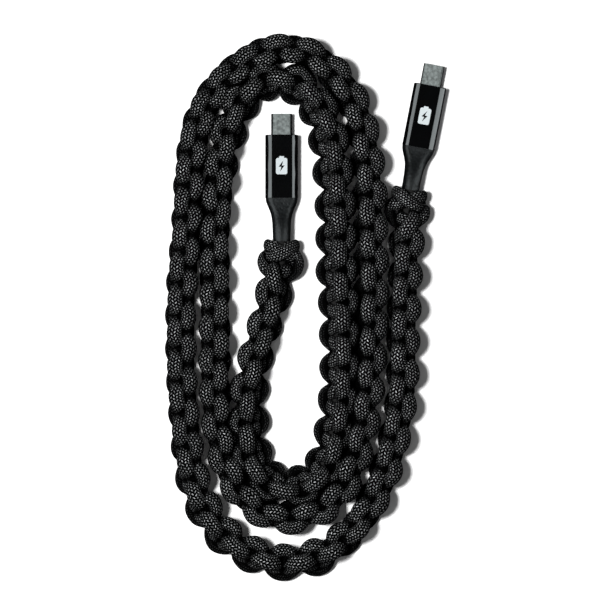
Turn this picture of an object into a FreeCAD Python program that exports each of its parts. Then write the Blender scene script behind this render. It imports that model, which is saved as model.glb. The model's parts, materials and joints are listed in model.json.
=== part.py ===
import FreeCAD
import Part
import Sketcher
import math
import os

# A phone charging cable with a USB-C plug on each end and a cobra-stitch weave of two thick cords
# over its whole length, lying on a table in two and a half loops.
#
# Frame: millimetres, +Z up, the table at Z = 0.  The origin is on the table, under the middle of the
# first plug's housing.  +Y is the way that the first plug points.
# Each plug is drawn in a frame of its own: its axis is local Y, its housing's middle is local 0.

V = FreeCAD.Vector
DOC = FreeCAD.newDocument("charging_cable")

SIZES = {
    # aluminium housing
    "housing_width": 13.0,
    "housing_height": 7.0,
    "housing_length": 25.0,
    "housing_corner": 2.6,
    "housing_wall": 0.8,
    "front_wall": 1.4,
    "front_chamfer": 0.25,
    # charge mark let into the housing's top
    "mark_width": 4.6,
    "mark_length": 6.6,
    "mark_corner": 0.8,
    "mark_depth": 0.3,
    "mark_gap": 0.05,
    "tip_width": 2.0,
    "tip_length": 0.7,
    # steel shell of the plug
    "shell_width": 8.34,
    "shell_height": 2.56,
    "shell_wall": 0.28,
    "shell_exposed": 8.4,
    "shell_buried": 5.4,
    "fit_gap": 0.05,
    # plastic carrier, contacts, latches and shield springs inside the shell
    "carrier_inset": 0.5,
    "slot_width": 7.0,
    "slot_height": 1.2,
    "contact_count": 12,
    "contact_pitch": 0.5,
    "contact_width": 0.25,
    "contact_thickness": 0.14,
    "contact_length": 13.7,
    "contact_start": 5.8,
    "block_width": 6.6,
    "block_height": 0.5,
    "block_length": 3.2,
    "latch_thickness": 0.25,
    "latch_height": 0.5,
    "latch_length": 8.2,
    "latch_outside": 3.1,
    "latch_hook": 0.3,
    "latch_hook_length": 0.9,
    "spring_width": 5.6,
    "spring_length": 0.6,
    "spring_thickness": 0.1,
    # circuit board and what is on it
    "board_width": 9.0,
    "board_length": 8.9,
    "board_thickness": 0.6,
    "chip_side": 3.0,
    "chip_height": 0.75,
    "chip_place": 2.2,
    "resistor_length": 1.6,
    "resistor_width": 0.8,
    "resistor_height": 0.5,
    # inner mould, crimp ferrule and wire tails
    "mould_length": 9.8,
    "mould_bore": 3.4,
    "ferrule_length": 3.2,
    "ferrule_bore": 4.3,
    "ferrule_outside": 5.2,
    "tail_length": 6.8,
    # rubber strain relief
    "relief_length": 17.3,
    "relief_bore": 4.4,
    # cable and weave
    "jacket_diameter": 4.0,
    "jacket_bore": 3.2,
    "shield_diameter": 2.9,
    "shield_bore": 2.6,
    "wire_diameter": 0.64,
    "wire_circle": 0.68,
    "weave_width": 10.2,
    "weave_height": 14.4,
    "weave_corner": 4.4,
    "weave_bore": 4.4,
    "weave_split": 0.2,
    "lead_weave_size": 11.4,
    "lead_weave_corner": 5.2,
    # heights above the table, and the second plug's place
    "plug_height": 3.5,
    "lead_height": 5.75,
    "weave_rest_height": 7.25,
    "exit_distance": 29.8,
    "second_exit_x": 51.0,
    "second_exit_y": -9.5,
    "second_turn": -11.0,
}

# The free cable's route between the plugs, (x, y) in millimetres, from the first plug to the second:
# down beside the first plug, then two and a half loops outwards.
ROUTE = [
    (-2.5, -49), (-8, -67), (-13, -86), (-13.5, -102),
    (-12, -115.5), (-6.5, -124.5), (3.5, -128), (13, -124.5), (18.5, -115.5),
    (21.5, -99), (22.5, -72), (20.5, -40), (20.5, -12), (18, 12),
    (13.5, 25), (7.5, 31.5), (-1, 35), (-9.5, 33), (-16, 25.5),
    (-21, 12.5), (-24.5, -5), (-26.5, -30), (-26, -62), (-26.5, -92), (-23.5, -113),
    (-17.5, -129), (-6.5, -138), (4, -140), (16, -136), (25.5, -127),
    (30.5, -112), (34.5, -92), (36.5, -64), (36.3, -32), (35.5, -4), (32.5, 17),
    (25.5, 33), (14, 44), (1, 48), (-12, 44), (-24, 34.5),
    (-33, 20.5), (-36.5, 3), (-37.5, -20), (-40, -52), (-39.8, -80), (-38, -104),
    (-35, -125), (-27.5, -141), (-16, -151.5), (-1, -157), (14, -155), (26, -146),
    (36, -133), (43, -114.5), (48, -91), (48.4, -64), (49.6, -43), (49.9, -28),
]
# The points that the cable goes through inside each strain relief and just after it:
# (distance behind the housing's middle, whether it has risen to the weave's height).
TAIL = [(9.0, False), (17.0, False), (25.0, True), (37.0, True)]

SHEET = DOC.addObject("Spreadsheet::Sheet", "Sizes")
for row, (alias, number) in enumerate(SIZES.items(), start=1):
    SHEET.set(f"A{row}", alias)
    SHEET.set(f"B{row}", str(number))
    SHEET.setAlias(f"B{row}", alias)
DOC.recompute()

PARTS = []


def size(alias):
    """The number in the sheet's cell."""
    return float(SHEET.get(alias))


def bind(thing, **expressions):
    """Bind properties to expressions on the sheet; a double underscore stands for a dot."""
    for name, expression in expressions.items():
        thing.setExpression(name.replace("__", "."), expression)


def keep(thing, label, placement=None):
    """Name a finished sub-part and put it in its place."""
    thing.Label = label
    if placement is not None:
        thing.Placement = placement
    PARTS.append(thing)
    return thing


def box(name, length, width, height, x, y, z):
    """A Part::Box along X, Y and Z whose sizes and corner are expressions."""
    block = DOC.addObject("Part::Box", name)
    bind(block, Length=length, Width=width, Height=height)
    bind(block, Placement__Base__x=x, Placement__Base__y=y, Placement__Base__z=z)
    return block


def rod(name, radius, length, x, y, z):
    """A Part::Cylinder along +Y from (x, y, z)."""
    cylinder = DOC.addObject("Part::Cylinder", name)
    cylinder.Placement = FreeCAD.Placement(V(0, 0, 0), FreeCAD.Rotation(V(1, 0, 0), -90))
    bind(cylinder, Radius=radius, Height=length)
    bind(cylinder, Placement__Base__x=x, Placement__Base__y=y, Placement__Base__z=z)
    return cylinder


def group(name, members):
    compound = DOC.addObject("Part::Compound", name)
    compound.Links = members
    return compound


def cut(name, base, tool):
    result = DOC.addObject("Part::Cut", name)
    result.Base = base
    result.Tool = tool
    return result


def origin_plane(body, role):
    for feature in body.Origin.OriginFeatures:
        if feature.Role == role:
            return feature


def rounded_sketch(body, name, role, offset, width, height, corner, rise="0"):
    """A rounded rectangle on one of the body's origin planes, shifted along the plane's normal."""
    sketch = body.newObject("Sketcher::SketchObject", name)
    sketch.AttachmentSupport = [(origin_plane(body, role), "")]
    sketch.MapMode = "FlatFace"
    bind(sketch, AttachmentOffset__Base__z=offset, AttachmentOffset__Base__y=rise)
    half_w = float(sketch.evalExpression(width)) / 2
    half_h = float(sketch.evalExpression(height)) / 2
    r = float(sketch.evalExpression(corner))
    flat_w = half_w - r
    flat_h = half_h - r
    sides = [
        ((-flat_w, -half_h), (flat_w, -half_h)),
        ((half_w, -flat_h), (half_w, flat_h)),
        ((flat_w, half_h), (-flat_w, half_h)),
        ((-half_w, flat_h), (-half_w, -flat_h)),
    ]
    for start, end in sides:
        sketch.addGeometry(Part.LineSegment(V(*start, 0), V(*end, 0)))
    centres = [(flat_w, -flat_h), (flat_w, flat_h), (-flat_w, flat_h), (-flat_w, -flat_h)]
    for number, (x, y) in enumerate(centres):
        circle = Part.Circle(V(x, y, 0), V(0, 0, 1), r)
        start = (number - 1) * math.pi / 2
        sketch.addGeometry(Part.ArcOfCircle(circle, start, start + math.pi / 2))
    add = sketch.addConstraint
    for number in range(4):
        arc = 4 + number
        add(Sketcher.Constraint("Tangent", number, 2, arc, 1))
        add(Sketcher.Constraint("Tangent", arc, 2, (number + 1) % 4, 1))
    add(Sketcher.Constraint("Horizontal", 0))
    add(Sketcher.Constraint("Vertical", 1))
    for arc in (5, 6, 7):
        add(Sketcher.Constraint("Equal", 4, arc))
    add(Sketcher.Constraint("Symmetric", 4, 3, 6, 3, -1, 1))
    across = add(Sketcher.Constraint("DistanceX", 3, 1, 1, 1, 2 * half_w))
    upright = add(Sketcher.Constraint("DistanceY", 0, 1, 2, 1, 2 * half_h))
    radius = add(Sketcher.Constraint("Radius", 4, r))
    for index, label, expression in (
        (across, "across", width),
        (upright, "upright", height),
        (radius, "corner", corner),
    ):
        sketch.renameConstraint(index, label)
        sketch.setExpression(f"Constraints.{label}", expression)
    return sketch


def pad(body, name, sketch, length, reverse=False):
    feature = body.newObject("PartDesign::Pad", name)
    feature.Profile = sketch
    feature.Reversed = reverse
    bind(feature, Length=length)
    DOC.recompute()
    return feature


def pocket(body, name, sketch, length, reverse=False):
    """Cut a pocket, and make sure that it took something away."""
    before = body.Shape.Volume
    feature = body.newObject("PartDesign::Pocket", name)
    feature.Profile = sketch
    feature.Reversed = reverse
    bind(feature, Length=length)
    DOC.recompute()
    if body.Shape.Volume >= before - 1e-6:
        raise ValueError(f"{name} cuts nothing")
    return feature


def new_body(name):
    return DOC.addObject("PartDesign::Body", name)


# ------------------------------------------------------------------ one plug


def add_housing(which, place):
    """The aluminium sleeve: open at the back, with a mouth for the shell and a recess for the mark."""
    body = new_body(f"housing_{which}")
    back = "Sizes.housing_length / 2"
    outline = rounded_sketch(
        body, f"housing_outline_{which}", "XZ_Plane", back,
        "Sizes.housing_width", "Sizes.housing_height", "Sizes.housing_corner",
    )
    pad(body, f"housing_block_{which}", outline, "Sizes.housing_length", reverse=True)
    front_y = size("housing_length") / 2
    rim = [
        f"Edge{number}"
        for number, edge in enumerate(body.Shape.Edges, start=1)
        if min(vertex.Y for vertex in edge.Vertexes) > front_y - 0.01
    ]
    block = body.Tip
    chamfer = body.newObject("PartDesign::Chamfer", f"housing_rim_{which}")
    chamfer.Base = (block, rim)
    bind(chamfer, Size="Sizes.front_chamfer")
    DOC.recompute()
    hollow = rounded_sketch(
        body, f"housing_hollow_{which}", "XZ_Plane", back,
        "Sizes.housing_width - 2 * Sizes.housing_wall",
        "Sizes.housing_height - 2 * Sizes.housing_wall",
        "Sizes.housing_corner - Sizes.housing_wall",
    )
    pocket(body, f"housing_cavity_{which}", hollow, "Sizes.housing_length - Sizes.front_wall")
    mouth = rounded_sketch(
        body, f"housing_mouth_{which}", "XZ_Plane", "0",
        "Sizes.shell_width + 2 * Sizes.fit_gap",
        "Sizes.shell_height + 2 * Sizes.fit_gap",
        "(Sizes.shell_height + 2 * Sizes.fit_gap) / 2 - 0.02",
    )
    pocket(body, f"housing_opening_{which}", mouth, "Sizes.housing_length")
    top = "Sizes.housing_height / 2"
    recess = rounded_sketch(
        body, f"mark_recess_{which}", "XY_Plane", top,
        "Sizes.mark_width", "Sizes.mark_length", "Sizes.mark_corner",
    )
    pocket(body, f"mark_pocket_{which}", recess, "Sizes.mark_depth")
    tip = rounded_sketch(
        body, f"tip_recess_{which}", "XY_Plane", top,
        "Sizes.tip_width", "Sizes.tip_length * 2", "0.3",
        rise="Sizes.mark_length / 2",
    )
    pocket(body, f"tip_pocket_{which}", tip, "Sizes.mark_depth")
    return keep(body, f"housing_{which}", place)


def add_mark(which, place):
    """The white inlay: a battery outline with a lightning stroke through it."""
    body = new_body(f"charge_mark_{which}")
    floor = "Sizes.housing_height / 2 - Sizes.mark_depth"
    outline = rounded_sketch(
        body, f"mark_outline_{which}", "XY_Plane", floor,
        "Sizes.mark_width - 2 * Sizes.mark_gap",
        "Sizes.mark_length - 2 * Sizes.mark_gap",
        "Sizes.mark_corner - Sizes.mark_gap",
    )
    pad(body, f"mark_plate_{which}", outline, "Sizes.mark_depth")
    tip = rounded_sketch(
        body, f"mark_tip_outline_{which}", "XY_Plane", floor,
        "Sizes.tip_width - 2 * Sizes.mark_gap",
        "(Sizes.tip_length - Sizes.mark_gap) * 2",
        "0.25",
        rise="Sizes.mark_length / 2",
    )
    pad(body, f"mark_tip_{which}", tip, "Sizes.mark_depth")
    stroke = body.newObject("Sketcher::SketchObject", f"mark_stroke_outline_{which}")
    stroke.AttachmentSupport = [(origin_plane(body, "XY_Plane"), "")]
    stroke.MapMode = "FlatFace"
    bind(stroke, AttachmentOffset__Base__z="Sizes.housing_height / 2")
    half = size("mark_width") / 2 * 0.52
    reach = size("mark_length") / 2 * 0.68
    slope = 0.12 * reach
    corners = [
        (half * 0.55, reach),
        (-half, -slope),
        (-half * 0.08, -slope),
        (-half * 0.55, -reach),
        (half, slope),
        (half * 0.08, slope),
    ]
    for start, end in zip(corners, corners[1:] + corners[:1]):
        stroke.addGeometry(Part.LineSegment(V(*start, 0), V(*end, 0)))
    pocket(body, f"mark_stroke_{which}", stroke, "Sizes.mark_depth")
    return keep(body, f"charge_mark_{which}", place)


def add_shell(which, place):
    """The drawn steel shell, a flat-sided tube that goes into the socket."""
    body = new_body(f"plug_shell_{which}")
    start = "-(Sizes.housing_length / 2 - Sizes.shell_buried)"
    length = "Sizes.shell_exposed + Sizes.shell_buried"
    outline = rounded_sketch(
        body, f"shell_outline_{which}", "XZ_Plane", start,
        "Sizes.shell_width", "Sizes.shell_height", "Sizes.shell_height / 2 - 0.02",
    )
    pad(body, f"shell_tube_{which}", outline, length, reverse=True)
    inside = rounded_sketch(
        body, f"shell_inside_{which}", "XZ_Plane", start,
        "Sizes.shell_width - 2 * Sizes.shell_wall",
        "Sizes.shell_height - 2 * Sizes.shell_wall",
        "Sizes.shell_height / 2 - Sizes.shell_wall - 0.02",
    )
    pocket(body, f"shell_bore_{which}", inside, length)
    return keep(body, f"plug_shell_{which}", place)


def add_carrier(which, place):
    """The plastic lining of the shell, with the slot that the socket's tongue enters."""
    body = new_body(f"contact_carrier_{which}")
    start = "-(Sizes.housing_length / 2 - Sizes.shell_buried + 0.2)"
    length = "Sizes.shell_exposed + Sizes.shell_buried - Sizes.carrier_inset - 0.2"
    outline = rounded_sketch(
        body, f"carrier_outline_{which}", "XZ_Plane", start,
        "Sizes.shell_width - 2 * Sizes.shell_wall - 2 * Sizes.fit_gap",
        "Sizes.shell_height - 2 * Sizes.shell_wall - 2 * Sizes.fit_gap",
        "Sizes.shell_height / 2 - Sizes.shell_wall - Sizes.fit_gap - 0.02",
    )
    pad(body, f"carrier_block_{which}", outline, length, reverse=True)
    slot = rounded_sketch(
        body, f"carrier_slot_outline_{which}", "XZ_Plane", start,
        "Sizes.slot_width", "Sizes.slot_height", "0.1",
    )
    pocket(body, f"carrier_slot_{which}", slot, length)
    return keep(body, f"contact_carrier_{which}", place)


def add_contacts(which, place):
    """Two rows of twelve gold-plated beams against the slot's ceiling and floor."""
    first = "-(Sizes.contact_count - 1) / 2 * Sizes.contact_pitch - Sizes.contact_width / 2"
    rows = {
        "upper": "Sizes.slot_height / 2 - 0.03 - Sizes.contact_thickness",
        "lower": "-Sizes.slot_height / 2 + 0.03",
    }
    for row, z in rows.items():
        beams = []
        for number in range(int(size("contact_count"))):
            beams.append(box(
                f"beam_{row}_{which}_{number}",
                "Sizes.contact_width", "Sizes.contact_length", "Sizes.contact_thickness",
                f"{first} + {number} * Sizes.contact_pitch", "Sizes.contact_start", z,
            ))
        keep(group(f"contacts_{row}_{which}", beams), f"contacts_{row}_{which}", place)


def add_latches(which, place):
    """The middle block and the two side latches, whose hooks point inwards at their tips."""
    start = "Sizes.housing_length / 2 - Sizes.shell_buried + 0.2"
    block = box(
        f"middle_block_{which}",
        "Sizes.block_width", "Sizes.block_length", "Sizes.block_height",
        "-Sizes.block_width / 2", start, "-Sizes.block_height / 2",
    )
    keep(group(f"contact_block_{which}", [block]), f"contact_block_{which}", place)
    root = f"{start} + Sizes.block_length + 0.1"
    arm_x = {
        "left": "-Sizes.latch_outside",
        "right": "Sizes.latch_outside - Sizes.latch_thickness",
    }
    hook_x = {
        "left": "-Sizes.latch_outside + Sizes.latch_thickness - 0.02",
        "right": "Sizes.latch_outside - Sizes.latch_thickness - Sizes.latch_hook + 0.02",
    }
    for side in ("left", "right"):
        arm = box(
            f"latch_arm_{side}_{which}",
            "Sizes.latch_thickness", "Sizes.latch_length", "Sizes.latch_height",
            arm_x[side], root, "-Sizes.latch_height / 2",
        )
        hook = box(
            f"latch_hook_{side}_{which}",
            "Sizes.latch_hook", "Sizes.latch_hook_length", "Sizes.latch_height",
            hook_x[side], f"{root} + Sizes.latch_length - Sizes.latch_hook_length",
            "-Sizes.latch_height / 2",
        )
        latch = DOC.addObject("Part::Fuse", f"latch_{side}_{which}")
        latch.Base = arm
        latch.Tool = hook
        latch.Refine = True
        keep(latch, f"latch_{side}_{which}", place)


def add_springs(which, place):
    """The two shield springs, one behind each long lip of the shell's mouth."""
    y = "Sizes.contact_start + Sizes.contact_length + 0.15"
    upper = box(
        f"spring_upper_{which}",
        "Sizes.spring_width", "Sizes.spring_length", "Sizes.spring_thickness",
        "-Sizes.spring_width / 2", y, "Sizes.slot_height / 2 - 0.02 - Sizes.spring_thickness",
    )
    lower = box(
        f"spring_lower_{which}",
        "Sizes.spring_width", "Sizes.spring_length", "Sizes.spring_thickness",
        "-Sizes.spring_width / 2", y, "-Sizes.slot_height / 2 + 0.02",
    )
    keep(group(f"shield_springs_{which}", [upper, lower]), f"shield_springs_{which}", place)


def add_board(which, place):
    """The circuit board behind the shell, its cable-marker chip and four small resistors."""
    front = "Sizes.housing_length / 2 - Sizes.shell_buried - 0.1"
    board = box(
        f"board_{which}",
        "Sizes.board_width", "Sizes.board_length", "Sizes.board_thickness",
        "-Sizes.board_width / 2", f"{front} - Sizes.board_length", "-Sizes.board_thickness / 2",
    )
    keep(group(f"circuit_board_{which}", [board]), f"circuit_board_{which}", place)
    chip = box(
        f"chip_{which}",
        "Sizes.chip_side", "Sizes.chip_side", "Sizes.chip_height",
        "-Sizes.chip_side / 2", "Sizes.chip_place - Sizes.chip_side / 2",
        "Sizes.board_thickness / 2 + 0.02",
    )
    keep(group(f"marker_chip_{which}", [chip]), f"marker_chip_{which}", place)
    resistors = []
    for number in range(4):
        resistors.append(box(
            f"resistor_{which}_{number}",
            "Sizes.resistor_width", "Sizes.resistor_length", "Sizes.resistor_height",
            f"({number} - 1.5) * 2 * Sizes.resistor_width - Sizes.resistor_width / 2",
            "Sizes.chip_place - Sizes.resistor_length / 2",
            "-Sizes.board_thickness / 2 - 0.02 - Sizes.resistor_height",
        ))
    keep(group(f"resistors_{which}", resistors), f"resistors_{which}", place)


def add_cable_end(which, place):
    """The moulded block behind the board, the ferrule on the cable's end and the wires' tails."""
    body = new_body(f"inner_mould_{which}")
    back = "Sizes.housing_length / 2 - 0.1"
    outline = rounded_sketch(
        body, f"mould_outline_{which}", "XZ_Plane", back,
        "Sizes.housing_width - 2 * Sizes.housing_wall - 2 * Sizes.fit_gap",
        "Sizes.housing_height - 2 * Sizes.housing_wall - 2 * Sizes.fit_gap",
        "Sizes.housing_corner - Sizes.housing_wall - Sizes.fit_gap",
    )
    pad(body, f"mould_block_{which}", outline, "Sizes.mould_length", reverse=True)
    narrow = rounded_sketch(
        body, f"mould_bore_outline_{which}", "XZ_Plane", back,
        "Sizes.mould_bore", "Sizes.mould_bore", "Sizes.mould_bore / 2 - 0.02",
    )
    pocket(body, f"mould_bore_{which}", narrow, "Sizes.mould_length")
    seat = rounded_sketch(
        body, f"mould_seat_outline_{which}", "XZ_Plane", back,
        "Sizes.ferrule_outside + 0.1", "Sizes.housing_height - 2 * Sizes.housing_wall - 0.2",
        "(Sizes.housing_height - 2 * Sizes.housing_wall - 0.2) / 2 - 0.02",
    )
    pocket(body, f"mould_seat_{which}", seat, "Sizes.ferrule_length + 0.5")
    keep(body, f"inner_mould_{which}", place)
    start = "-Sizes.housing_length / 2 + 0.15"
    ring = cut(
        f"crimp_ferrule_{which}",
        rod(f"ferrule_outside_{which}", "Sizes.ferrule_outside / 2", "Sizes.ferrule_length",
            "0", start, "0"),
        rod(f"ferrule_bore_{which}", "Sizes.ferrule_bore / 2", "Sizes.ferrule_length",
            "0", start, "0"),
    )
    keep(ring, f"crimp_ferrule_{which}", place)
    tails = []
    for number in range(5):
        tails.append(rod(
            f"tail_{which}_{number}", "Sizes.wire_diameter / 2", "Sizes.tail_length",
            f"Sizes.wire_circle * sin({72 * number} deg)", f"-{TAIL[0][0]} + 0.02",
            f"Sizes.wire_circle * cos({72 * number} deg)",
        ))
    keep(group(f"wire_tails_{which}", tails), f"wire_tails_{which}", place)


def add_relief(which, place, bore):
    """The rubber strain relief: wide at the housing, then a round neck that rises to the weave."""
    body = new_body(f"relief_body_{which}")
    # (distance behind the housing, width, height, corner radius, rise of its middle)
    stations = [
        (0.05, 12.7, 6.7, 2.45, 0.0),
        (1.6, 12.3, 6.6, 2.7, 0.05),
        (4.2, 10.3, 6.6, 3.1, 0.35),
        (7.0, 8.35, 6.8, 3.35, 0.9),
        (10.0, 7.5, 7.0, 3.4, 1.6),
        (13.5, 7.15, 7.0, 3.45, 2.15),
        (17.3, 7.0, 7.0, 3.48, 2.25),
    ]
    sketches = []
    for number, (behind, width, height, corner, rise) in enumerate(stations):
        sketches.append(rounded_sketch(
            body, f"relief_station_{which}_{number}", "XZ_Plane",
            f"Sizes.housing_length / 2 + {behind} * Sizes.relief_length / 17.3",
            f"{width}", f"{height}", f"{corner}", rise=f"{rise}",
        ))
    loft = body.newObject("PartDesign::AdditiveLoft", f"relief_loft_{which}")
    loft.Profile = sketches[0]
    loft.Sections = sketches[1:]
    DOC.recompute()
    body.Placement = place
    return keep(cut(f"strain_relief_{which}", body, bore), f"strain_relief_{which}")


def add_plug(which, place):
    add_housing(which, place)
    add_mark(which, place)
    add_shell(which, place)
    add_carrier(which, place)
    add_contacts(which, place)
    add_latches(which, place)
    add_springs(which, place)
    add_board(which, place)
    add_cable_end(which, place)


# ------------------------------------------------------------------ cable and weave


def plug_places():
    """The two plugs' placements; the second follows from where the cable leaves it."""
    height = size("plug_height")
    turn = FreeCAD.Rotation(V(0, 0, 1), size("second_turn"))
    away = turn.multVec(V(0, size("exit_distance"), 0))
    middle = V(size("second_exit_x"), size("second_exit_y"), height) + away
    first = FreeCAD.Placement(V(0, 0, height), FreeCAD.Rotation())
    return first, FreeCAD.Placement(middle, turn)


def tail_points(place):
    rise = size("lead_height") - size("plug_height")
    return [place.multVec(V(0, -behind, rise if risen else 0)) for behind, risen in TAIL]


def cable_points(first, second):
    """Every point of the cable's route, from the end inside the first plug to the second's."""
    lead = size("lead_height")
    rest = size("weave_rest_height")
    points = tail_points(first)
    for number, (x, y) in enumerate(ROUTE):
        from_end = min(number, len(ROUTE) - 1 - number)
        points.append(V(x, y, (lead + rest) / 2 if from_end == 0 else rest))
    return points + tail_points(second)[::-1]


def bend(points, index):
    """The arc at a point: where it starts and ends, its middle and its radius."""
    back = points[index - 1] - points[index]
    ahead = points[index + 1] - points[index]
    reach = 0.45 * min(back.Length, ahead.Length)
    back.normalize()
    ahead.normalize()
    half_turn = (math.pi - back.getAngle(ahead)) / 2
    radius = reach / math.tan(half_turn)
    inward = back + ahead
    inward.normalize()
    to_middle = radius / math.cos(half_turn) - radius
    start = points[index] + back * reach
    end = points[index] + ahead * reach
    return start, points[index] + inward * to_middle, end, radius


def route_wire(points, first_run, start, last_run, end):
    """Straight runs joined by tangent arcs, from a point on one run to a point on another."""
    edges = []
    here = start
    for index in range(first_run + 1, last_run + 1):
        arc_start, middle, arc_end, _ = bend(points, index)
        edges.append(Part.LineSegment(here, arc_start).toShape())
        edges.append(Part.Arc(arc_start, middle, arc_end).toShape())
        here = arc_end
    edges.append(Part.LineSegment(here, end).toShape())
    return Part.Wire(edges)


def swept(path, profile):
    """A solid with an upright profile swept along the path."""
    pipe = Part.BRepOffsetAPI.MakePipeShell(path)
    pipe.setBiNormalMode(V(0, 0, 1))
    pipe.add(profile)
    pipe.build()
    pipe.makeSolid()
    return pipe.shape()


def path_frame(path):
    """The start of a path: its point, its direction, and the sideways direction to its right."""
    edge = path.OrderedEdges[0]
    point = path.OrderedVertexes[0].Point
    ahead = edge.tangentAt(edge.FirstParameter)
    return point, ahead, ahead.cross(V(0, 0, 1)).normalize()


def round_profile(path, radius, sideways=0.0, up=0.0):
    point, ahead, right = path_frame(path)
    centre = point + right * sideways + V(0, 0, up)
    return Part.Wire([Part.Circle(centre, ahead, radius).toShape()])


def tube(name, label, path, outside, bore=None, sideways=0.0, up=0.0):
    """A round cable layer along the path, checked against its section times its length."""
    solid = swept(path, round_profile(path, outside / 2, sideways, up))
    section = math.pi * outside ** 2 / 4
    if bore is not None:
        solid = solid.cut(swept(path, round_profile(path, bore / 2)))
        section -= math.pi * bore ** 2 / 4
    feature = DOC.addObject("Part::Feature", name)
    feature.Shape = solid
    ratio = solid.Volume / (section * path.Length)
    print(f"{label}: volume is {ratio:.4f} of section times length")
    if label is not None:
        keep(feature, label)
    return feature


def weave_half(path, side):
    """Half of the weave's outer shape, on the right (+1) or left (-1) of the cable."""
    point, _, right = path_frame(path)
    half_w = size("weave_width") / 2
    half_h = size("weave_height") / 2
    corner = size("weave_corner")
    split = size("weave_split") / 2
    bore = size("weave_bore") / 2
    mouth = math.sqrt(bore ** 2 - split ** 2)
    slant = corner * (1 - math.sqrt(0.5))

    def at(u, v):
        return point + right * (side * u) + V(0, 0, v)

    edges = [
        Part.LineSegment(at(split, mouth), at(split, half_h)),
        Part.LineSegment(at(split, half_h), at(half_w - corner, half_h)),
        Part.Arc(at(half_w - corner, half_h), at(half_w - slant, half_h - slant),
                 at(half_w, half_h - corner)),
        Part.LineSegment(at(half_w, half_h - corner), at(half_w, corner - half_h)),
        Part.Arc(at(half_w, corner - half_h), at(half_w - slant, slant - half_h),
                 at(half_w - corner, -half_h)),
        Part.LineSegment(at(half_w - corner, -half_h), at(split, -half_h)),
        Part.LineSegment(at(split, -half_h), at(split, -mouth)),
        Part.Arc(at(split, -mouth), at(bore, 0), at(split, mouth)),
    ]
    return Part.Wire([edge.toShape() for edge in edges])


def ring_section(path, outer_side, corner):
    """A round-cornered square around the cable, for the first knots beside each plug."""
    point, _, right = path_frame(path)
    half = outer_side / 2
    flat = half - corner
    slant = corner * (1 - math.sqrt(0.5))
    edges = []
    for quarter in range(4):
        c = [1, 0, -1, 0][quarter]
        s = [0, 1, 0, -1][quarter]

        def at(u, v, c=c, s=s):
            return point + right * (u * c - v * s) + V(0, 0, u * s + v * c)

        edges.append(Part.LineSegment(at(half, -flat), at(half, flat)))
        edges.append(Part.Arc(at(half, flat), at(half - slant, half - slant), at(flat, half)))
    return Part.Wire([edge.toShape() for edge in edges])


def add_shape(name, shape):
    feature = DOC.addObject("Part::Feature", name)
    feature.Shape = shape
    return keep(feature, name)


def add_cable(points):
    """The jacket, the shield and five wires, whole from plug to plug."""
    path = route_wire(points, 0, points[0], len(points) - 2, points[-1])
    print(f"cable length {path.Length:.1f} mm")
    tube("jacket", "cable_jacket", path, size("jacket_diameter"), size("jacket_bore"))
    tube("shield", "shield_braid", path, size("shield_diameter"), size("shield_bore"))
    names = ["power_wire", "ground_wire", "control_wire", "data_plus_wire", "data_minus_wire"]
    for number, name in enumerate(names):
        angle = math.radians(72 * number)
        ring = size("wire_circle")
        tube(name, name, path, size("wire_diameter"),
             sideways=ring * math.sin(angle), up=ring * math.cos(angle))


def add_weave(points, first, second):
    """The weave's outer shape: two halves along the loops, and the first knots at each plug."""
    exit_one = tail_exit(first)
    exit_two = tail_exit(second)
    early = len(TAIL)
    late = len(points) - len(TAIL) - 3
    start = (points[early + 1] + points[early + 2]) * 0.5
    end = (points[late] + points[late + 1]) * 0.5
    main = route_wire(points, early + 1, start, late, end)
    print(f"weave along the loops {main.Length:.1f} mm")
    for label, side in (("outer_strand", 1), ("inner_strand", -1)):
        add_shape(label, swept(main, weave_half(main, side)))
    leads = {
        "first_knots_one": route_wire(points, 2, exit_one, early + 1, start),
        "first_knots_two": route_wire(points, late, end, len(points) - 4, exit_two),
    }
    for label, path in leads.items():
        print(f"{label} {path.Length:.1f} mm")
        block = swept(path, ring_section(path, size("lead_weave_size"), size("lead_weave_corner")))
        add_shape(label, block.cut(swept(path, round_profile(path, size("weave_bore") / 2))))


def tail_exit(place):
    """Where the cable leaves a strain relief."""
    rise = size("lead_height") - size("plug_height")
    return place.multVec(V(0, -size("exit_distance"), rise))


def print_radii(points):
    for index in range(1, len(points) - 1):
        print(f"point {index}: bend radius {bend(points, index)[3]:.1f} mm")


FIRST, SECOND = plug_places()
POINTS = cable_points(FIRST, SECOND)
print_radii(POINTS)
for name, placement in (("one", FIRST), ("two", SECOND)):
    add_plug(name, placement)
    near = POINTS if name == "one" else POINTS[::-1]
    bore_path = route_wire(near, 0, near[0], 3, (near[3] + near[4]) * 0.5)
    bore_shape = DOC.addObject("Part::Feature", f"relief_bore_{name}")
    bore_shape.Shape = swept(bore_path, round_profile(bore_path, size("relief_bore") / 2))
    add_relief(name, placement, bore_shape)
add_cable(POINTS)
add_weave(POINTS, FIRST, SECOND)
DOC.recompute()

for thing in DOC.Objects:
    if "Invalid" in thing.State or "Error" in thing.State:
        raise ValueError(f"{thing.Name} failed: {thing.State}")
for thing in PARTS:
    if thing.Shape.isNull() or not thing.Shape.isValid():
        raise ValueError(f"{thing.Label} has no valid shape")

os.makedirs("parts", exist_ok=True)
for thing in PARTS:
    thing.Shape.exportStep(f"parts/{thing.Label}.step")
    print(f"{thing.Label}: {len(thing.Shape.Solids)} solids, {thing.Shape.Volume:.2f} mm3")
print(len(PARTS), "parts")
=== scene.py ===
"""The charging cable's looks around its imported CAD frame.

A cable with an aluminium plug at each end, covered from plug to plug by a square-knot weave of two
black braided cords. It lies on a pale table in two and a half loose loops.
The route and the weave are worked out in millimetres and multiplied by MM, for a scene in metres.
"""
import json
import math
import random

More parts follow.
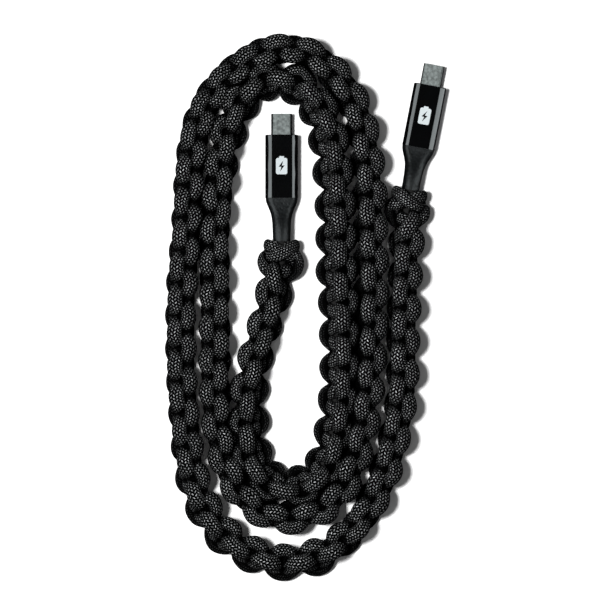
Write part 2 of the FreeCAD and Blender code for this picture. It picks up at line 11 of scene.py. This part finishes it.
import bpy
import numpy as np
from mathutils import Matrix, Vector


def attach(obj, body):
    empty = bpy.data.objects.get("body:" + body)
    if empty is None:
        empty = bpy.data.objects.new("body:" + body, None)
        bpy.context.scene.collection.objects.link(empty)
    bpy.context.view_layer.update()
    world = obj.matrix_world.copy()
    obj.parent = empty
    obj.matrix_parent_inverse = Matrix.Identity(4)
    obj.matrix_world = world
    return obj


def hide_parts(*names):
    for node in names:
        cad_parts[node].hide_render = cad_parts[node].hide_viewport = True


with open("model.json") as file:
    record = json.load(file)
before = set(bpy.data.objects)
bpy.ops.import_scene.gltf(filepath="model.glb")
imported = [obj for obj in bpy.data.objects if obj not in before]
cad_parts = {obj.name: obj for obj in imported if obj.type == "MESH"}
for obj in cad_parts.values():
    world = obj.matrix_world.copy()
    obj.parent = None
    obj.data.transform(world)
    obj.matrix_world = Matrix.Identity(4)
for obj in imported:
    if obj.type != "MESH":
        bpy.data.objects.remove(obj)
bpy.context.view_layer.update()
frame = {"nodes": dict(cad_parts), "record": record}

MM = 0.001
BODY = "cable"
rng = random.Random(11)


# ---------------------------------------------------------------- camera

VIEW_CENTRE = (7.3, -53.1)      # what the camera looks straight down on
VIEW_WIDTH = 238.2
CAMERA_HEIGHT = 1500.0
PLANE_HEIGHT = 5.0              # the height at which the view is VIEW_WIDTH wide
SENSOR = 36.0

camera_data = bpy.data.cameras.new("camera")
camera_data.sensor_width = SENSOR
camera_data.lens = SENSOR * (CAMERA_HEIGHT - PLANE_HEIGHT) / VIEW_WIDTH
camera_data.clip_end = 10.0
camera = bpy.data.objects.new("camera", camera_data)
camera.location = (VIEW_CENTRE[0] * MM, VIEW_CENTRE[1] * MM, CAMERA_HEIGHT * MM)
bpy.context.scene.collection.objects.link(camera)
bpy.context.scene.camera = camera


# ---------------------------------------------------------------- the cable's route

EXIT_HEIGHT = 5.75
LEAD_HEIGHT = 6.5
REST_HEIGHT = 7.25
# (x, y) in millimetres from the first plug to the second, as in the part's own source.
ROUTE = [
    (-2.5, -49), (-8, -67), (-13, -86), (-13.5, -102),
    (-12, -115.5), (-6.5, -124.5), (3.5, -128), (13, -124.5), (18.5, -115.5),
    (21.5, -99), (22.5, -72), (20.5, -40), (20.5, -12), (18, 12),
    (13.5, 25), (7.5, 31.5), (-1, 35), (-9.5, 33), (-16, 25.5),
    (-21, 12.5), (-24.5, -5), (-26.5, -30), (-26, -62), (-26.5, -92), (-23.5, -113),
    (-17.5, -129), (-6.5, -138), (4, -140), (16, -136), (25.5, -127),
    (30.5, -112), (34.5, -92), (36.5, -64), (36.3, -32), (35.5, -4), (32.5, 17),
    (25.5, 33), (14, 44), (1, 48), (-12, 44), (-24, 34.5),
    (-33, 20.5), (-36.5, 3), (-37.5, -20), (-40, -52), (-39.8, -80), (-38, -104),
    (-35, -125), (-27.5, -141), (-16, -151.5), (-1, -157), (14, -155), (26, -146),
    (36, -133), (43, -114.5), (48, -91), (48.4, -64), (49.6, -43), (49.9, -28),
]
# Each plug's own place: the middle of its housing, and how far it is turned from +Y.
EXIT_DISTANCE = 29.8
SECOND_EXIT = (51.0, -9.5)
SECOND_TURN = math.radians(-11.0)
CABLE_DIAMETER = 4.0


def in_plug(which, x, y, z):
    """A point of a plug's own frame, in millimetres, as a point of the object's frame."""
    if which == "one":
        return (x, y, z)
    cos = math.cos(SECOND_TURN)
    sin = math.sin(SECOND_TURN)
    middle_x = SECOND_EXIT[0] - EXIT_DISTANCE * sin
    middle_y = SECOND_EXIT[1] + EXIT_DISTANCE * cos
    return (middle_x + x * cos - y * sin, middle_y + x * sin + y * cos, z)


def route_points():
    """Every control point of the cable's line, inside both strain reliefs included, in metres."""
    tail = [(9.0, 3.5), (17.0, 3.5), (25.0, EXIT_HEIGHT), (37.0, EXIT_HEIGHT)]
    start = [in_plug("one", 0, -back, z) for back, z in tail]
    end = [in_plug("two", 0, -back, z) for back, z in reversed(tail)]
    last = len(ROUTE) - 1
    middle = [
        (x, y, LEAD_HEIGHT if number in (0, last) else REST_HEIGHT)
        for number, (x, y) in enumerate(ROUTE)
    ]
    return [Vector(point) * MM for point in start + middle + end]


def nurbs_curve(name, points):
    """A curve object of one smooth NURBS spline with these control points."""
    curve = bpy.data.curves.new(name, "CURVE")
    curve.dimensions = "3D"
    spline = curve.splines.new("NURBS")
    spline.points.add(len(points) - 1)
    for control, point in zip(spline.points, points):
        control.co = (*point, 1.0)
    spline.order_u = 3
    spline.use_endpoint_u = True
    spline.resolution_u = 24
    thing = bpy.data.objects.new(name, curve)
    bpy.context.scene.collection.objects.link(thing)
    return thing


cable = nurbs_curve("cable_jacket_piece", route_points())
bpy.context.view_layer.update()
line_mesh = bpy.data.meshes.new_from_object(cable)
line = np.array([vertex.co for vertex in line_mesh.vertices]) / MM
bpy.data.meshes.remove(line_mesh)
cable.data.bevel_depth = CABLE_DIAMETER / 2 * MM
cable.data.bevel_resolution = 5
cable.data.use_fill_caps = True


class Core:
    """The cable's centre line by length along it, with a frame at each place. Millimetres."""

    STEP = 0.5

    def __init__(self, points):
        gaps = np.linalg.norm(np.diff(points, axis=0), axis=1)
        along = np.concatenate([[0.0], np.cumsum(gaps)])
        self.length = along[-1]
        self.at = np.arange(0.0, self.length, self.STEP)
        self.points = np.stack([np.interp(self.at, along, points[:, k]) for k in range(3)], axis=1)
        tangent = np.gradient(self.points, self.STEP, axis=0)
        kernel = np.ones(9) / 9
        padded = np.pad(tangent, ((4, 4), (0, 0)), mode="edge")
        tangent = np.stack([np.convolve(padded[:, k], kernel, "valid") for k in range(3)], axis=1)
        self.tangents = tangent / np.linalg.norm(tangent, axis=1)[:, None]

    def place(self, s):
        """Centre point, side (level, to the left of the way it runs) and up at each length s."""
        centre = np.stack([np.interp(s, self.at, self.points[:, k]) for k in range(3)], axis=1)
        tangent = np.stack([np.interp(s, self.at, self.tangents[:, k]) for k in range(3)], axis=1)
        tangent /= np.linalg.norm(tangent, axis=1)[:, None]
        side = np.cross([0.0, 0.0, 1.0], tangent)
        side /= np.linalg.norm(side, axis=1)[:, None]
        up = np.cross(tangent, side)
        return centre, side, up

    def nearest(self, x, y):
        """The length along the line at which it passes (x, y) nearest."""
        return self.at[np.argmin(np.hypot(self.points[:, 0] - x, self.points[:, 1] - y))]


core = Core(line)


# ---------------------------------------------------------------- the weave

HALF_KNOT = 6.45                # length along the cable that one half knot takes
STRAND_WIDTH = 6.1
STRAND_THICKNESS = 3.9
LEAD = 5.3                      # from each strain relief's end to where the even half knots begin
RING_STEP = 0.75
TABLE_GAP = 0.02                # the cords flatten against the table and stay this far above it
SIDES = 16

# One half knot of one strand: (across the strap, towards its front, along the cable, how full the strand
# is there). It crosses the front as a bar, turns in under the other strand at the edge, comes out round
# the back corner as a bump, and turns in again. The next half knot is the same with the first number's
# sign changed.
STITCH = [
    (0.0, 3.0, 0.0, 0.93), (2.3, 2.7, -0.7, 0.92), (2.9, 1.5, -1.5, 0.85), (2.9, 0.1, -1.8, 0.8),
    (3.6, -1.1, -1.5, 0.88), (5.3, -1.9, -0.4, 1.0), (6.4, -2.7, 1.5, 1.05), (6.7, -3.1, 3.4, 1.06),
    (6.4, -2.7, 5.4, 1.05), (5.3, -1.9, 7.2, 1.0), (3.6, -1.3, 8.3, 0.88), (2.3, -0.1, 8.7, 0.8),
    (2.0, 1.4, 8.4, 0.85), (2.0, 2.7, 7.5, 0.9),
]

BUMP = 5                        # the first of STITCH's points that is out on the bump
# Before its first bump each strand comes from behind the strain relief's neck, round its side, and
# slants across the front: (across, towards the front, beyond the neck's end, how full). The first one
# passes over the second, and the same two lines end the weave at the other plug.
LOOPS = {
    False: [
        (0.6, -4.2, 3.2, 0.75), (-3.2, -4.4, 2.5, 0.78), (-5.3, -2.9, 2.0, 0.8), (-5.9, -0.2, 1.6, 0.82),
        (-5.2, 2.8, 1.8, 0.84), (-2.8, 4.9, 2.9, 0.84), (0.1, 5.5, 4.5, 0.84), (2.8, 4.7, 5.9, 0.84),
        (4.6, 2.6, 6.6, 0.84), (5.0, -0.2, 6.6, 0.86),
    ],
    True: [
        (-0.6, -4.2, 3.2, 0.75), (3.2, -4.4, 2.5, 0.78), (5.3, -2.9, 2.0, 0.8), (5.9, -0.2, 1.6, 0.82),
        (5.2, 2.8, 1.8, 0.84), (2.8, 4.2, 2.9, 0.84), (0.0, 3.6, 4.5, 0.8), (-2.9, 3.3, 5.9, 0.84),
    ],
}


def b_spline(points, per_span):
    """Points along the uniform cubic B-spline of these control points."""
    t = np.arange(per_span) / per_span
    weights = np.stack([
        (1 - t) ** 3 / 6,
        (3 * t ** 3 - 6 * t ** 2 + 4) / 6,
        (-3 * t ** 3 + 3 * t ** 2 + 3 * t + 1) / 6,
        t ** 3 / 6,
    ], axis=1)
    spans = np.stack([points[k:len(points) - 3 + k] for k in range(4)], axis=1)
    return np.einsum("tk,skd->std", weights, spans).reshape(-1, points.shape[1])


# Where the strap lies on its edge, leans or lies flat: (x, y) near the line, the roll in degrees, 0 on
# edge and 90 flat, and how far the knots sit to the left of the cable's own middle, in millimetres.
LAY = [
    ((0.0, -33.0), -90.0, 0.0), ((-1.0, -40.0), -55.0, 0.0), ((-3.0, -50.0), -18.0, 0.0),
    ((-8.0, -67.0), -10.0, 0.0), ((-13.5, -102.0), -30.0, 0.0), ((3.5, -128.0), -35.0, -0.5),
    ((22.5, -72.0), -32.0, -1.3), ((18.0, 12.0), -32.0, -1.1), ((-1.0, 35.0), -25.0, 0.0),
    ((-21.0, 12.5), -16.0, -0.9), ((-25.0, -15.0), 2.0, -0.4), ((-6.5, -138.0), -10.0, 0.0),
    ((36.5, -64.0), -16.0, 1.0), ((25.5, 33.0), -8.0, 0.5), ((-12.0, 44.0), 5.0, 0.4),
    ((-38.0, -104.0), 5.0, -0.3), ((-27.5, -141.0), 22.0, -0.9), ((14.0, -155.0), 22.0, -0.9),
    ((36.0, -133.0), -5.0, -0.6), ((49.6, -43.0), -8.0, 0.5), ((49.9, -28.0), -15.0, 0.3),
    ((50.4, -20.0), -55.0, 0.0), ((50.8, -13.0), -90.0, 0.0),
]
lay_at = np.array([core.nearest(*place) for place, _, _ in LAY])
lay_roll = np.array([roll for _, roll, _ in LAY])
lay_shift = np.array([shift for _, _, shift in LAY])


def strap_to_world(local):
    """Points given as (across, front, along) carried onto the cable's line, and the axis points."""
    centre, side, up = core.place(local[:, 2])
    roll = np.radians(np.interp(local[:, 2], lay_at, lay_roll))[:, None]
    centre = centre + np.interp(local[:, 2], lay_at, lay_shift)[:, None] * side
    across = np.cos(roll) * up + np.sin(roll) * side
    front = np.cos(roll) * side - np.sin(roll) * up
    return centre + local[:, :1] * across + local[:, 1:2] * front, centre


def strand_controls(turned):
    """The control points of one strand, (across, front, along, fullness), all the way down the cable."""
    first_exit = core.nearest(0.0, -EXIT_DISTANCE)
    last_exit = core.nearest(*SECOND_EXIT)
    span = last_exit - first_exit - 2 * LEAD
    count = round(span / HALF_KNOT)
    pitch = span / count
    sign = -1.0 if turned else 1.0
    controls = [(u, v, first_exit + beyond, full) for u, v, beyond, full in LOOPS[turned]]
    for number in range(count):
        mirror = 1.0 if number % 2 == 0 else -1.0
        shift = rng.uniform(-0.25, 0.25)
        stitch = STITCH
        if number == 0:
            stitch = STITCH[BUMP:]
        if number == count - 1:
            stitch = STITCH[:BUMP + 4]
        for across, towards, along, fullness in stitch:
            controls.append((
                sign * mirror * across + rng.uniform(-0.25, 0.25),
                sign * towards + rng.uniform(-0.25, 0.25),
                first_exit + LEAD + number * pitch + along + shift,
                fullness * rng.uniform(0.95, 1.05),
            ))
    for u, v, beyond, full in reversed(LOOPS[turned]):
        controls.append((mirror * u, v, last_exit - beyond, full))
    return np.array(controls)


def sweep(name, centres, axis_points, fullness):
    """A closed tube of a flattened round section along the centres, its flat side to the axis."""
    gaps = np.linalg.norm(np.diff(centres, axis=0), axis=1)
    along = np.concatenate([[0.0], np.cumsum(gaps)])
    rings = int(along[-1] / RING_STEP)
    at = np.linspace(0.0, along[-1], rings)
    centres = np.stack([np.interp(at, along, centres[:, k]) for k in range(3)], axis=1)
    axis_points = np.stack([np.interp(at, along, axis_points[:, k]) for k in range(3)], axis=1)
    fullness = np.interp(at, along, fullness)[:, None, None]
    tangent = np.gradient(centres, axis=0)
    tangent /= np.linalg.norm(tangent, axis=1)[:, None]
    out = centres - axis_points
    out -= np.sum(out * tangent, axis=1)[:, None] * tangent
    out /= np.linalg.norm(out, axis=1)[:, None]
    cross = np.cross(tangent, out)
    angle = np.arange(SIDES) * 2 * math.pi / SIDES
    ring = (
        centres[:, None]
        + np.cos(angle)[None, :, None] * cross[:, None] * fullness * STRAND_WIDTH / 2
        + np.sin(angle)[None, :, None] * out[:, None] * fullness * STRAND_THICKNESS / 2
    )
    ring[:, :, 2] = np.maximum(ring[:, :, 2], TABLE_GAP)
    vertices = ring.reshape(-1, 3) * MM
    mesh = bpy.data.meshes.new(name)
    faces = []
    for ring_number in range(rings - 1):
        base = ring_number * SIDES
        for side in range(SIDES):
            after = (side + 1) % SIDES
            faces.append((base + side, base + after, base + SIDES + after, base + SIDES + side))
    faces.append(tuple(reversed(range(SIDES))))
    faces.append(tuple(range((rings - 1) * SIDES, rings * SIDES)))
    mesh.from_pydata(vertices.tolist(), [], faces)
    layer = mesh.uv_layers.new(name="strand")
    uv = np.zeros((len(mesh.loops), 2))
    side_uv = np.array([[0, 0], [1, 0], [1, 1], [0, 1]], float)
    quads = (rings - 1) * SIDES
    ring_index = np.repeat(np.arange(rings - 1), SIDES)
    side_index = np.tile(np.arange(SIDES), rings - 1)
    for corner in range(4):
        uv[corner:quads * 4:4, 0] = (side_index + side_uv[corner, 0]) / SIDES
        uv[corner:quads * 4:4, 1] = at[ring_index + side_uv[corner, 1].astype(int)]
    layer.data.foreach_set("uv", uv.ravel().astype(np.float32))
    mesh.polygons.foreach_set("use_smooth", [True] * len(mesh.polygons))
    mesh.update()
    thing = bpy.data.objects.new(name, mesh)
    bpy.context.scene.collection.objects.link(thing)
    return thing, along[-1]


strands = []
for name, turned in (("outer_strand_piece", False), ("inner_strand_piece", True)):
    controls = strand_controls(turned)
    world, axis_points = strap_to_world(controls)
    world[:, 2] = np.maximum(world[:, 2], STRAND_THICKNESS / 2)
    smooth = b_spline(np.hstack([world, axis_points, controls[:, 3:]]), 8)
    strand, length = sweep(name, smooth[:, :3], smooth[:, 3:6], smooth[:, 6])
    print(name, "is", round(length), "mm long with", len(strand.data.polygons), "faces")
    strands.append(strand)


# ---------------------------------------------------------------- materials

class Shade:
    """A material with one Principled shader, and short calls for the nodes that feed it."""

    def __init__(self, name, colour, roughness, metallic=0.0, **fixed):
        self.material = bpy.data.materials.new(name)
        self.material.use_nodes = True
        self.tree = self.material.node_tree
        self.shader = self.tree.nodes["Principled BSDF"]
        self.shader.inputs["Base Color"].default_value = (*colour, 1.0)
        self.shader.inputs["Roughness"].default_value = roughness
        self.shader.inputs["Metallic"].default_value = metallic
        for socket, value in fixed.items():
            self.shader.inputs[socket.replace("_", " ")].default_value = value

    def node(self, kind, **inputs):
        made = self.tree.nodes.new(kind)
        for socket, value in inputs.items():
            self.feed(made.inputs[socket.replace("_", " ")], value)
        return made

    def feed(self, socket, value):
        if isinstance(value, bpy.types.NodeSocket):
            self.tree.links.new(value, socket)
        else:
            socket.default_value = value

    def math(self, operation, *values):
        made = self.tree.nodes.new("ShaderNodeMath")
        made.operation = operation
        for socket, value in zip(made.inputs, values):
            self.feed(socket, value)
        return made.outputs[0]

    def split(self, vector):
        return self.node("ShaderNodeSeparateXYZ", Vector=vector).outputs

    def place(self):
        """Where the point is on the object, in metres."""
        return self.node("ShaderNodeTexCoord").outputs["Object"]

    def noise(self, scale, detail=3.0, vector=None):
        made = self.node("ShaderNodeTexNoise", Scale=scale, Detail=detail)
        self.feed(made.inputs["Vector"], vector or self.place())
        return made.outputs["Fac"]

    def ranged(self, value, low, high, from_low=0.0, from_high=1.0):
        made = self.node("ShaderNodeMapRange")
        for number, number_value in enumerate((value, from_low, from_high, low, high)):
            self.feed(made.inputs[number], number_value)
        return made.outputs[0]

    def blend(self, share, first, second):
        made = self.tree.nodes.new("ShaderNodeMix")
        made.data_type = "RGBA"
        self.feed(made.inputs["Factor"], share)
        for socket, value in ((made.inputs[6], first), (made.inputs[7], second)):
            self.feed(socket, value if isinstance(value, bpy.types.NodeSocket) else (*value, 1.0))
        return made.outputs[2]

    def colour(self, value):
        self.feed(self.shader.inputs["Base Color"], value)

    def roughness(self, value):
        self.feed(self.shader.inputs["Roughness"], value)

    def bump(self, height, depth_mm, strength=1.0):
        made = self.node("ShaderNodeBump", Height=height, Distance=depth_mm * MM, Strength=strength)
        if "Filter Width" in made.inputs:
            made.inputs["Filter Width"].default_value = BUMP_FILTER
        earlier = self.shader.inputs["Normal"]
        if earlier.is_linked:
            self.tree.links.new(earlier.links[0].from_socket, made.inputs["Normal"])
        self.tree.links.new(made.outputs["Normal"], earlier)


BUMP_FILTER = 0.1               # how far apart, in pixels, a bump's height is compared
YARNS = 16                      # yarns each way round the cord's sleeve
YARN_STEP = 1.02                # millimetres along the cord that one yarn crossing takes
YARN_RELIEF = 0.42              # how far, in millimetres, a yarn stands above the gaps beside it
# Painted shade: the reach within which a neighbouring cord darkens this cord's colour.
OCCLUSION_SHADE_REACH = 5.0            # how far, in millimetres, a neighbour darkens the cord
# Painted shade: the near-black colour given to the gaps between yarns and to each yarn's lower sides.
CREVICE_PAINTED_SHADE = (0.0006, 0.0006, 0.0007)
DULL_YARN = (0.15, 0.157, 0.16)
PALE_YARN = (0.68, 0.7, 0.71)


def braid_material():
    """Black nylon sleeve cord: two sets of yarns wound opposite ways, each over two and under two."""
    shade = Shade("black_cord_braid", (0.012, 0.012, 0.013), 0.5, 0.5, Specular_IOR_Level=0.05)
    around, along, _ = shade.split(shade.node("ShaderNodeUVMap").outputs["UV"])
    turn = shade.math("MULTIPLY", around, float(YARNS))
    step = shade.math("DIVIDE", along, YARN_STEP)
    wander = shade.math("MULTIPLY", shade.math("SUBTRACT", shade.noise(350.0), 0.5), 0.35)
    first = shade.math("ADD", shade.math("ADD", turn, step), wander)
    second = shade.math("ADD", shade.math("SUBTRACT", turn, step), wander)

    def yarn(own, other, start):
        """How high one set of yarns stands, 0 where it is under the other set."""
        across = shade.math("SINE", shade.math("MULTIPLY", shade.math("FRACT", own), math.pi))
        phase = shade.math("ADD", other, shade.math("FLOOR", own))
        phase = shade.math("FLOORED_MODULO", shade.math("SUBTRACT", phase, start), 4.0)
        over = shade.math("SINE", shade.math("MULTIPLY", phase, math.pi / 2))
        over = shade.math("MAXIMUM", over, 0.0)
        threads = shade.math("SINE", shade.math("MULTIPLY", own, 6 * math.pi))
        body = shade.math("MULTIPLY", shade.math("POWER", across, 0.7), shade.math("POWER", over, 0.5))
        ridged = shade.math("ADD", shade.math("MULTIPLY", threads, 0.07), 0.93)
        return shade.math("MULTIPLY", body, ridged)

    height = shade.math("MAXIMUM", yarn(first, second, 0.0), yarn(second, first, 2.0))
    tone = shade.ranged(shade.noise(140.0, 4.0), 0.75, 1.35)
    lit = shade.blend(shade.ranged(shade.noise(900.0, 2.0), 0.0, 1.0, 0.35, 0.7),
                      DULL_YARN, PALE_YARN)
    # Painted shade, not wear: the colour darkens on the side facing the cable's middle and where an
    # occlusion node finds other cord close by.
    outward = shade.math("SINE", shade.math("MULTIPLY", around, 2 * math.pi))
    occlusion_shade = shade.node("ShaderNodeAmbientOcclusion", Distance=OCCLUSION_SHADE_REACH * MM).outputs["AO"]
    painted_shade = shade.math("MULTIPLY", shade.ranged(outward, 0.1, 1.0, -0.2, 0.9),
                      shade.ranged(occlusion_shade, 0.0, 1.0, 0.5, 0.88))
    # Painted shade: only the top of each yarn keeps its colour, and everything below it is painted near
    # black.
    share = shade.math("MULTIPLY", shade.ranged(height, 0.0, 1.0, 0.7, 1.0), tone)
    share = shade.math("MULTIPLY", share, painted_shade)
    shade.colour(shade.blend(share, CREVICE_PAINTED_SHADE, lit))
    shade.roughness(shade.ranged(shade.noise(700.0, 2.0), 0.44, 0.56, 0.3, 0.7))
    shade.bump(shade.noise(2600.0, 2.0), 0.02, 0.5)
    shade.bump(height, YARN_RELIEF, 1.0)
    return shade.material


def moulded(name, colour, roughness, grain=0.01, grain_scale=1800.0, tint=0.25, cloud=60.0, **fixed):
    """Plastic or rubber with a fine moulded grain and clouded changes of tone."""
    shade = Shade(name, colour, roughness, **fixed)
    darker = tuple(part * (1 - tint) for part in colour)
    lighter = tuple(part * (1 + tint) for part in colour)
    shade.colour(shade.blend(shade.ranged(shade.noise(cloud, 4.0), 0, 1, 0.35, 0.65), darker, lighter))
    shade.roughness(shade.ranged(shade.noise(400.0, 4.0), roughness * 0.88, min(1.0, roughness * 1.12)))
    shade.bump(shade.noise(grain_scale, 3.0), grain, 0.8)
    return shade


def metal(name, colour, roughness, brushed=None, mottle=0.12, depth=0.004):
    """Metal with a fine finish: brushed along one axis, or blasted where no axis is named."""
    shade = Shade(name, colour, roughness, 1.0)
    vector = shade.place()
    if brushed is not None:
        stretch = [1.0, 1.0, 1.0]
        stretch["xyz".index(brushed)] = 0.04
        vector = shade.node("ShaderNodeMapping", Vector=vector, Scale=stretch).outputs[0]
    fine = shade.noise(2500.0, 2.0, vector)
    cloud = shade.noise(900.0, 5.0)
    darker = tuple(part * (1 - mottle) for part in colour)
    lighter = tuple(min(1.0, part * (1 + mottle)) for part in colour)
    shade.colour(shade.blend(shade.ranged(cloud, 0, 1, 0.35, 0.65), darker, lighter))
    shade.roughness(shade.ranged(cloud, roughness * 0.94, roughness * 1.06, 0.3, 0.7))
    shade.bump(fine, depth, 0.4)
    return shade


def anodised_material():
    """Black anodised aluminium: a satin face with a fine blasted grain under a clear sealed skin."""
    shade = Shade("anodised_black", (0.001, 0.001, 0.0011), 0.13, Specular_IOR_Level=0.2,
                  Coat_Weight=1.0, Coat_Roughness=0.08)
    cloud = shade.ranged(shade.noise(160.0, 4.0), 0, 1, 0.3, 0.7)
    base = shade.blend(cloud, (0.0008, 0.0008, 0.0009), (0.0016, 0.0016, 0.0018))
    shade.colour(base)
    shade.roughness(shade.ranged(shade.noise(900.0, 3.0), 0.115, 0.15))
    shade.bump(shade.noise(5200.0, 2.0), 0.002, 0.4)
    return shade.material


MATERIALS = {
    "anodised_aluminium": anodised_material(),
    "white_mark": moulded("mark_print", (0.88, 0.89, 0.9), 0.45, 0.004, 3000.0, 0.04).material,
    "plug_steel": metal("plug_steel_satin", (0.235, 0.265, 0.26), 0.24, mottle=0.35,
                        depth=0.0015).material,
    "black_plastic": moulded("carrier_plastic", (0.01, 0.01, 0.01), 0.45).material,
    "gold_contacts": metal("contact_gold", (0.9, 0.62, 0.24), 0.22, "y", 0.06).material,
    "spring_steel": metal("spring_steel_bright", (0.62, 0.63, 0.64), 0.3, "y", 0.06).material,
    "board_green": moulded("board_mask", (0.012, 0.09, 0.035), 0.35).material,
    "resistor_ceramic": moulded("resistor_body", (0.03, 0.03, 0.035), 0.4).material,
    "mould_plastic": moulded("inner_mould_plastic", (0.5, 0.5, 0.47), 0.5).material,
    "ferrule_brass": metal("ferrule_plate", (0.75, 0.6, 0.35), 0.35, "y").material,
    "wire_grey": moulded("wire_tail_grey", (0.3, 0.3, 0.3), 0.45).material,
    "relief_rubber": moulded("relief_rubber_matt", (0.0045, 0.005, 0.0053), 0.38, 0.2, 1100.0, 0.8,
                             900.0, Specular_IOR_Level=0.3).material,
    "jacket_rubber": moulded("jacket_rubber_dull", (0.006, 0.006, 0.006), 0.85,
                             Specular_IOR_Level=0.15).material,
    "braid_metal": metal("shield_wires", (0.55, 0.5, 0.45), 0.4, "y").material,
    "wire_red": moulded("wire_red_plastic", (0.35, 0.01, 0.01), 0.4).material,
    "wire_black": moulded("wire_black_plastic", (0.01, 0.01, 0.01), 0.4).material,
    "wire_blue": moulded("wire_blue_plastic", (0.01, 0.05, 0.35), 0.4).material,
    "wire_green": moulded("wire_green_plastic", (0.01, 0.25, 0.05), 0.4).material,
    "wire_white": moulded("wire_white_plastic", (0.7, 0.7, 0.68), 0.4).material,
    "black_cord": braid_material(),
}

node_slots = {entry["node"]: entry["material_slot"] for entry in frame["record"]["subparts"]}
for node_name, thing in frame["nodes"].items():
    material = MATERIALS[node_slots[node_name]]
    for slot in thing.material_slots:
        slot.material = material
    if not thing.material_slots:
        thing.data.materials.append(material)
for strand in strands:
    strand.data.materials.append(MATERIALS["black_cord"])
cable.data.materials.append(MATERIALS["jacket_rubber"])


# ---------------------------------------------------------------- floor and lights

FLOOR_HALF = 2.0
floor_mesh = bpy.data.meshes.new("floor")
corners = [(-FLOOR_HALF, -FLOOR_HALF), (FLOOR_HALF, -FLOOR_HALF), (FLOOR_HALF, FLOOR_HALF),
           (-FLOOR_HALF, FLOOR_HALF)]
floor_mesh.from_pydata([(x, y, 0.0) for x, y in corners], [], [(0, 1, 2, 3)])
floor = bpy.data.objects.new("floor", floor_mesh)
floor_shade = Shade("floor_paper", (0.9, 0.9, 0.9), 0.95, Specular_IOR_Level=0.1)
floor_shade.bump(floor_shade.noise(300.0), 0.02, 0.2)
floor_mesh.materials.append(floor_shade.material)
bpy.context.scene.collection.objects.link(floor)
# The floor isn't seen in reflections and throws no light back up.
floor.visible_glossy = False
floor.visible_diffuse = False


def softbox(name, off_vertical, bearing, distance, width, height, power, colour):
    """A rectangular light aimed at the coil's middle, at an angle from straight up and a bearing."""
    tilt = math.radians(off_vertical)
    turn = math.radians(bearing)
    away = Vector((math.sin(tilt) * math.cos(turn), math.sin(tilt) * math.sin(turn), math.cos(tilt)))
    aim = Vector((VIEW_CENTRE[0] * MM, VIEW_CENTRE[1] * MM, 0.0))
    data = bpy.data.lights.new(name, "AREA")
    data.shape = "RECTANGLE"
    data.size = width
    data.size_y = height
    data.energy = power
    data.color = colour
    light = bpy.data.objects.new(name, data)
    light.location = aim + away * distance
    light.rotation_euler = (-away).to_track_quat("-Z", "Y").to_euler()
    bpy.context.scene.collection.objects.link(light)
    return light


def only_for(light, things):
    """The light falls on these objects alone, and every object can still throw a shadow on them."""
    group = bpy.data.collections.new(f"lit_by_{light.name}")
    for thing in things:
        group.objects.link(thing)
    light.light_linking.receiver_collection = group


WHITE = (1, 1, 1)
COOL = (0.9, 0.98, 1.0)
shells = [thing for name, thing in frame["nodes"].items() if node_slots[name] == "plug_steel"]
plug_parts = [
    thing for name, thing in frame["nodes"].items()
    if node_slots[name] not in ("black_cord", "jacket_rubber", "plug_steel")
]
weave = [cable, *strands]
# The floor, the weave, the plugs and their steel shells each have lamps of their own: a name, degrees
# off the vertical, bearing in degrees, distance, width and height in metres, watts, colour, and what
# the lamp lights.
LAMPS = [
    ("key", 17.0, 172.0, 1.6, 0.24, 0.24, 41.0, WHITE, [floor, *weave]),
    ("side_fill_180", 72.0, 180.0, 1.2, 1.0, 1.0, 1.2, WHITE, weave),
    ("side_fill_60", 72.0, 60.0, 1.2, 1.0, 1.0, 1.2, WHITE, weave),
    ("side_fill_300", 72.0, 300.0, 1.2, 1.0, 1.0, 1.2, WHITE, weave),
    ("floor_fill", 0.0, 0.0, 1.8, 2.4, 2.4, 7.0, WHITE, [floor]),
    ("left_box", 50.0, 180.0, 1.0, 0.75, 1.8, 16.0, COOL, plug_parts),
    ("right_box", 58.0, 3.0, 1.0, 0.35, 1.8, 8.0, COOL, plug_parts),
    ("shell_top", 0.0, 0.0, 1.5, 1.6, 1.6, 7.4, WHITE, shells),
    ("shell_side_180", 58.0, 180.0, 1.2, 1.6, 1.4, 6.0, WHITE, shells),
    ("shell_side_0", 58.0, 0.0, 1.2, 1.6, 1.4, 3.5, WHITE, shells),
    ("shell_side_90", 58.0, 90.0, 1.2, 1.6, 1.4, 5.0, WHITE, shells),
    ("shell_side_270", 58.0, 270.0, 1.2, 1.6, 1.4, 5.0, WHITE, shells),
]
for *placing, lit_things in LAMPS:
    only_for(softbox(*placing), lit_things)

world = bpy.data.worlds.new("studio")
world.use_nodes = True
background = world.node_tree.nodes["Background"]
background.inputs["Color"].default_value = (0.93, 0.97, 1.0, 1.0)
background.inputs["Strength"].default_value = 0.018
bpy.context.scene.world = world
bpy.context.scene.view_settings.view_transform = "Standard"


# ---------------------------------------------------------------- what rides and what is replaced

for thing in (cable, *strands):
    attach(thing, BODY)
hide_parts("outer_strand", "first_knots_one")
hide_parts("inner_strand", "first_knots_two")
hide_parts("cable_jacket")
